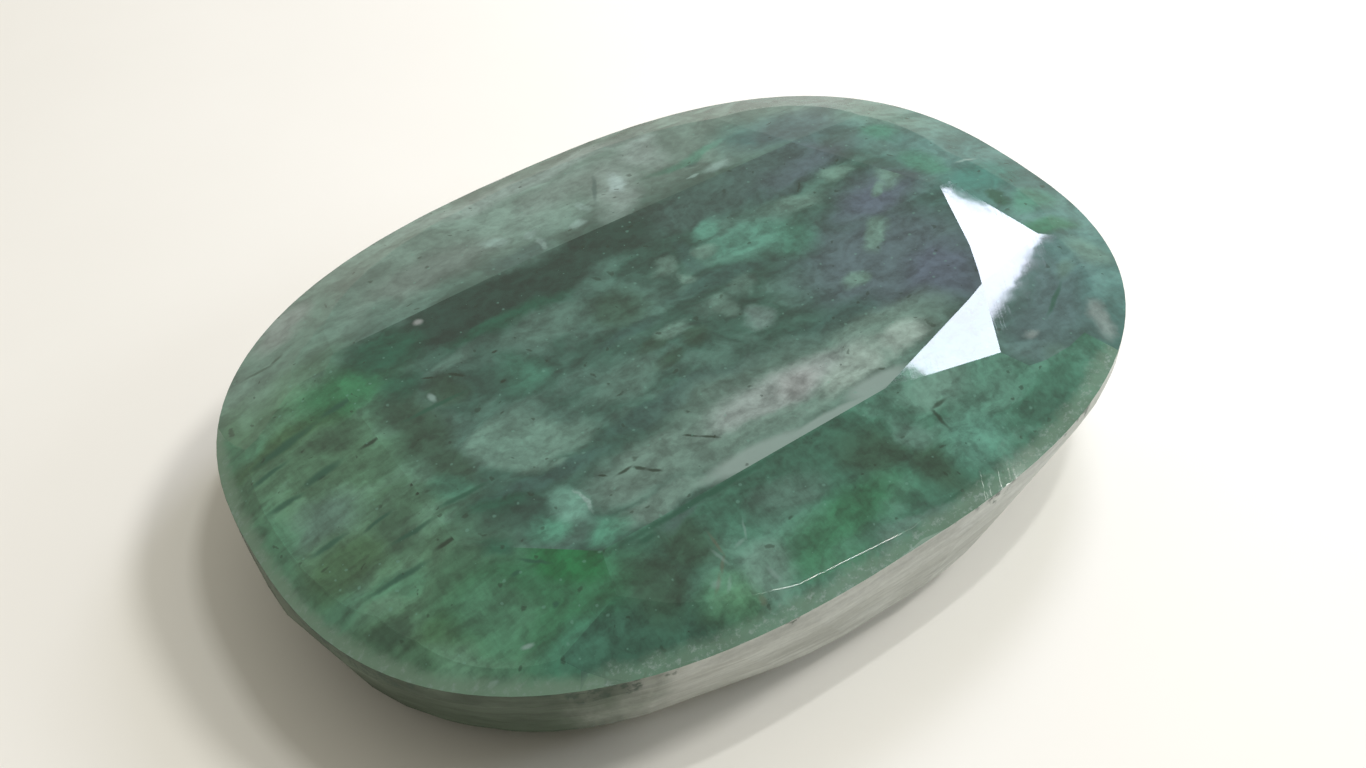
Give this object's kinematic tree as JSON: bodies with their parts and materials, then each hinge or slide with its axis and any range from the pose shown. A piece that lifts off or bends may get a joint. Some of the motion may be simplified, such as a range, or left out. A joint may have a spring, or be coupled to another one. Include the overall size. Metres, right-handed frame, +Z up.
{
  "type": "faceted oval emerald",
  "caption": "Large cut and polished opaque green emerald: oval outline, low faceted crown with a wide flat table, faceted underside with a flat base.",
  "frame": {"origin": "middle of the flat base, on the surface the stone rests on", "axes": "+X along the oval's length, +Y across it, +Z up through the table"},
  "size_m": [0.08, 0.0598, 0.0144],
  "materials": {
    "emerald": "polished, opaque, mottled green with grey-green clouds"
  },
  "bodies": {
    "root": {"emerald": "emerald"}
  },
  "joints": []
}
